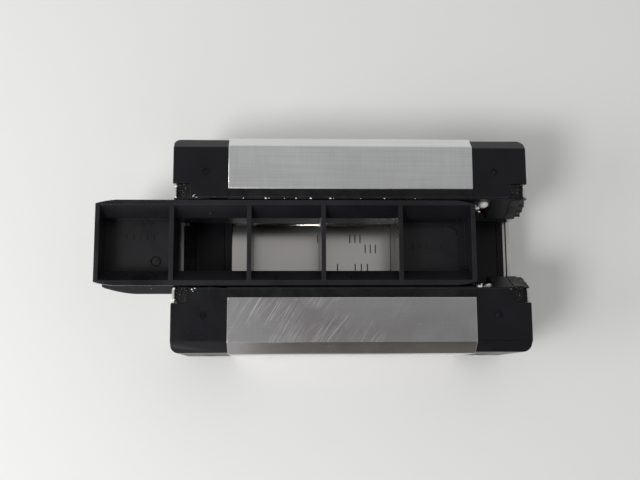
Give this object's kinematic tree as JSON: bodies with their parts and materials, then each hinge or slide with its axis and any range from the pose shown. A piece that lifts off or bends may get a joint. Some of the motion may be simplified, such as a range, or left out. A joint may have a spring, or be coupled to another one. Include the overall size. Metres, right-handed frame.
{
  "type": "linear guide carriage",
  "caption": "Slim linear ball guide carriage lying on its mounting face, with a plastic transport arbor slid part way out of its rail channel.",
  "frame": {"origin": "centre of the mounting face", "axes": "+X along the rail, +Y across it, +Z from the mounting face to the open underside"},
  "size_m": [0.1183, 0.06, 0.0353],
  "materials": {
    "ground_steel": "fine ground, light oil",
    "raceway_steel": "ground",
    "ball_steel": "polished",
    "inner_plastic": "moulded",
    "cap_plastic": "moulded, satin",
    "seal_rubber": "greased",
    "carrier_steel": "rolled sheet",
    "stainless": "rolled sheet",
    "screw_steel": "dark, oiled",
    "arbor_plastic": "moulded, satin"
  },
  "bodies": {
    "carriage": {"carriage_body": "ground_steel", "load_plate_upper_left": "raceway_steel", "load_plate_upper_right": "raceway_steel", "load_plate_lower_left": "raceway_steel", "load_plate_lower_right": "raceway_steel", "ball_circuit_upper_left": "ball_steel", "ball_circuit_upper_right": "ball_steel", "ball_circuit_lower_left": "ball_steel", "ball_circuit_lower_right": "ball_steel", "return_tube_upper_left": "inner_plastic", "return_tube_upper_right": "inner_plastic", "return_tube_lower_left": "inner_plastic", "return_tube_lower_right": "inner_plastic", "middle_retainer_left": "inner_plastic", "middle_retainer_right": "inner_plastic", "upper_retainer_left": "inner_plastic", "upper_retainer_right": "inner_plastic", "lower_retainer_left": "inner_plastic", "lower_retainer_right": "inner_plastic", "side_seal_left": "seal_rubber", "side_seal_right": "seal_rubber", "recirculation_plate_front": "inner_plastic", "recirculation_plate_rear": "inner_plastic", "return_guides_front": "inner_plastic", "return_guides_rear": "inner_plastic", "end_cap_front": "cap_plastic", "end_cap_rear": "cap_plastic", "end_seal_front": "seal_rubber", "end_seal_rear": "seal_rubber", "end_gasket_front": "seal_rubber", "end_gasket_rear": "seal_rubber", "seal_carrier_front": "carrier_steel", "seal_carrier_rear": "carrier_steel", "end_plate_front": "stainless", "end_plate_rear": "stainless", "end_screws_front": "screw_steel", "end_screws_rear": "screw_steel", "port_screw_front": "screw_steel", "port_screw_rear": "screw_steel", "side_plugs_front": "cap_plastic", "side_plugs_rear": "cap_plastic"},
    "arbor": {"transport_arbor": "arbor_plastic"}
  },
  "joints": [
    {"name": "arbor_slide", "type": "slide", "parent": "carriage", "child": "arbor", "axis": [1, 0, 0], "range_m": [-0.086, 0.121]}
  ]
}
